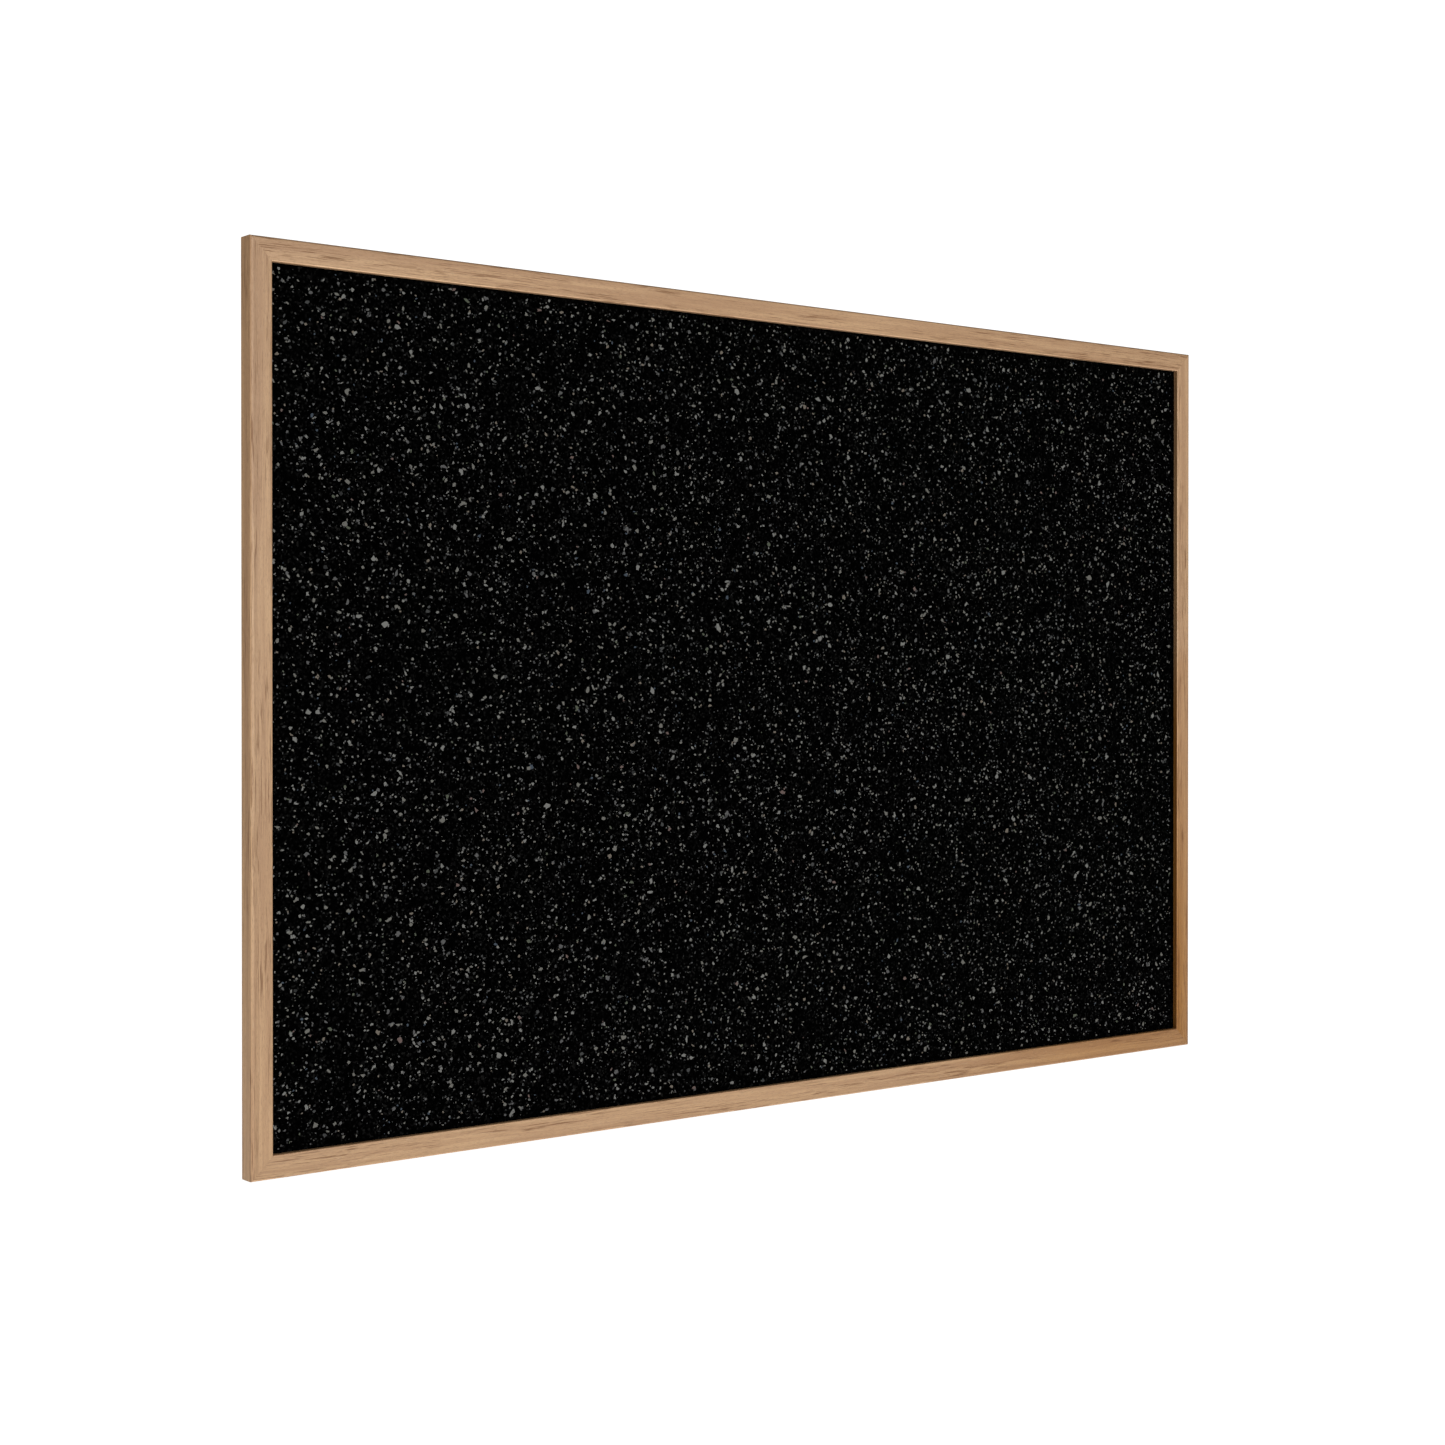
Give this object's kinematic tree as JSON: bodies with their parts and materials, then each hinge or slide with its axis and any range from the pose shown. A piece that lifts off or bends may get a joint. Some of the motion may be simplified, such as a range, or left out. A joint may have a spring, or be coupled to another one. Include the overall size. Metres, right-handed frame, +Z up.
{
  "type": "framed bulletin board",
  "caption": "Wall bulletin board with a black flecked granulate tack surface in a mitred oak frame, hung on hinged rings at its back.",
  "frame": {"origin": "middle of the top rail's flat back face, half way along the rail and half way across its flat", "axes": "+X to the right seen from the front, along the board's width; +Y out of the back towards the wall; +Z up"},
  "size_m": [1.8416, 0.0333, 1.2319],
  "materials": {
    "oak_frame": "open-pored oak moulding with a clear satin lacquer",
    "granulate_sheet": "matt black recycled rubber granulate with grey and tan flecks",
    "fibreboard_core": "raw hardboard",
    "kraft_backing": "kraft paper",
    "pine_stop": "planed raw pine",
    "zinc_steel": "bright zinc plate",
    "ring_steel": "bright zinc plated wire",
    "bumper_rubber": "matt moulded rubber"
  },
  "bodies": {
    "board": {"top_rail": "oak_frame", "right_stile": "oak_frame", "bottom_rail": "oak_frame", "left_stile": "oak_frame", "tack_surface": "granulate_sheet", "core_board": "fibreboard_core", "backing_sheet": "kraft_backing", "top_stop": "pine_stop", "top_stop_brad_1": "zinc_steel", "top_stop_brad_2": "zinc_steel", "top_stop_brad_3": "zinc_steel", "top_stop_brad_4": "zinc_steel", "right_stop": "pine_stop", "right_stop_brad_1": "zinc_steel", "right_stop_brad_2": "zinc_steel", "right_stop_brad_3": "zinc_steel", "bottom_stop": "pine_stop", "bottom_stop_brad_1": "zinc_steel", "bottom_stop_brad_2": "zinc_steel", "bottom_stop_brad_3": "zinc_steel", "bottom_stop_brad_4": "zinc_steel", "left_stop": "pine_stop", "left_stop_brad_1": "zinc_steel", "left_stop_brad_2": "zinc_steel", "left_stop_brad_3": "zinc_steel", "top_left_brace": "zinc_steel", "top_left_v_nail": "zinc_steel", "top_left_brace_screw_1": "zinc_steel", "top_left_brace_screw_2": "zinc_steel", "top_left_brace_screw_3": "zinc_steel", "top_left_brace_screw_4": "zinc_steel", "top_right_brace": "zinc_steel", "top_right_v_nail": "zinc_steel", "top_right_brace_screw_1": "zinc_steel", "top_right_brace_screw_2": "zinc_steel", "top_right_brace_screw_3": "zinc_steel", "top_right_brace_screw_4": "zinc_steel", "bottom_right_brace": "zinc_steel", "bottom_right_v_nail": "zinc_steel", "bottom_right_brace_screw_1": "zinc_steel", "bottom_right_brace_screw_2": "zinc_steel", "bottom_right_brace_screw_3": "zinc_steel", "bottom_right_brace_screw_4": "zinc_steel", "bottom_left_brace": "zinc_steel", "bottom_left_v_nail": "zinc_steel", "bottom_left_brace_screw_1": "zinc_steel", "bottom_left_brace_screw_2": "zinc_steel", "bottom_left_brace_screw_3": "zinc_steel", "bottom_left_brace_screw_4": "zinc_steel", "left_hanger_strap": "zinc_steel", "left_hanger_screw_upper": "zinc_steel", "left_hanger_screw_lower": "zinc_steel", "left_bumper": "bumper_rubber", "right_hanger_strap": "zinc_steel", "right_hanger_screw_upper": "zinc_steel", "right_hanger_screw_lower": "zinc_steel", "right_bumper": "bumper_rubber"},
    "left_ring": {"left_hanger_ring": "ring_steel"},
    "right_ring": {"right_hanger_ring": "ring_steel"}
  },
  "joints": [
    {"name": "left_ring_hinge", "type": "hinge", "parent": "board", "child": "left_ring", "pos_m": [-0.90805, 0.00305, -0.18887], "axis": [1, 0, 0], "range_deg": [0, 180]},
    {"name": "right_ring_hinge", "type": "hinge", "parent": "board", "child": "right_ring", "pos_m": [0.90805, 0.00305, -0.18887], "axis": [1, 0, 0], "range_deg": [0, 180]}
  ]
}
